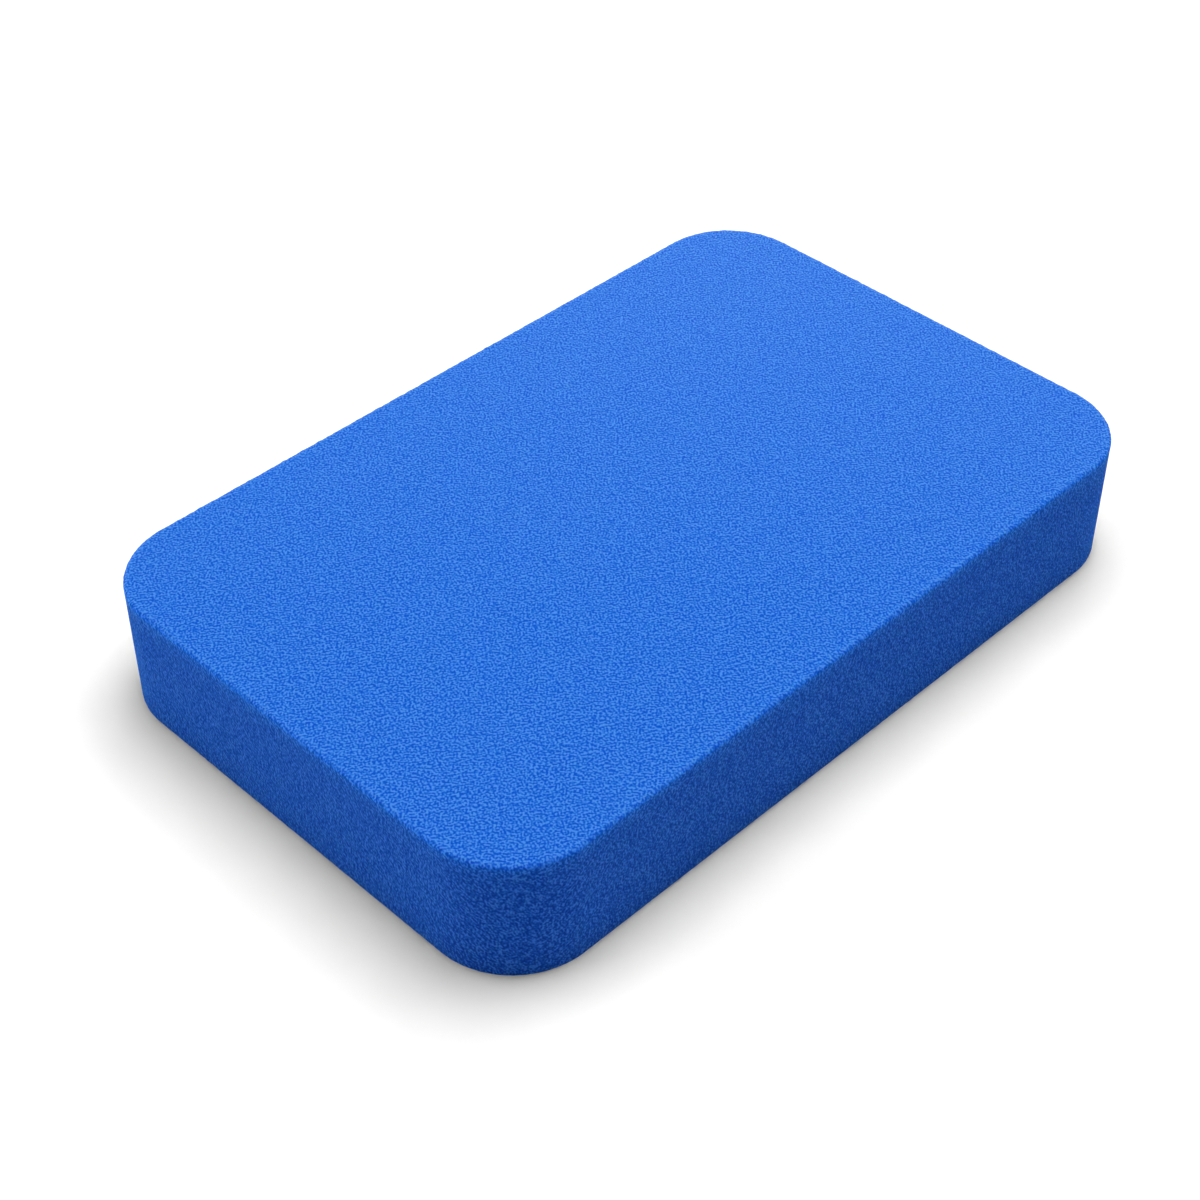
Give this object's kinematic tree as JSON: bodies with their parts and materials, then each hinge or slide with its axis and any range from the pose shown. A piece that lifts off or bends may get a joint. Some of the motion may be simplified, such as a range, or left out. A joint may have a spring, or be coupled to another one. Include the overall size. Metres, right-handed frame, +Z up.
{
  "type": "cleaning sponge",
  "caption": "Flat rectangular sponge of fine-celled foam, with rounded corners, straight sides and softly rounded edges.",
  "frame": {"origin": "centre of the bottom face, on the surface that the sponge lies on", "axes": "+X along the length, +Y across the width, +Z up through the thickness"},
  "size_m": [0.12, 0.078, 0.0188],
  "materials": {
    "foam": "matte, fine open-celled foam"
  },
  "bodies": {
    "root": {"sponge": "foam"}
  },
  "joints": []
}
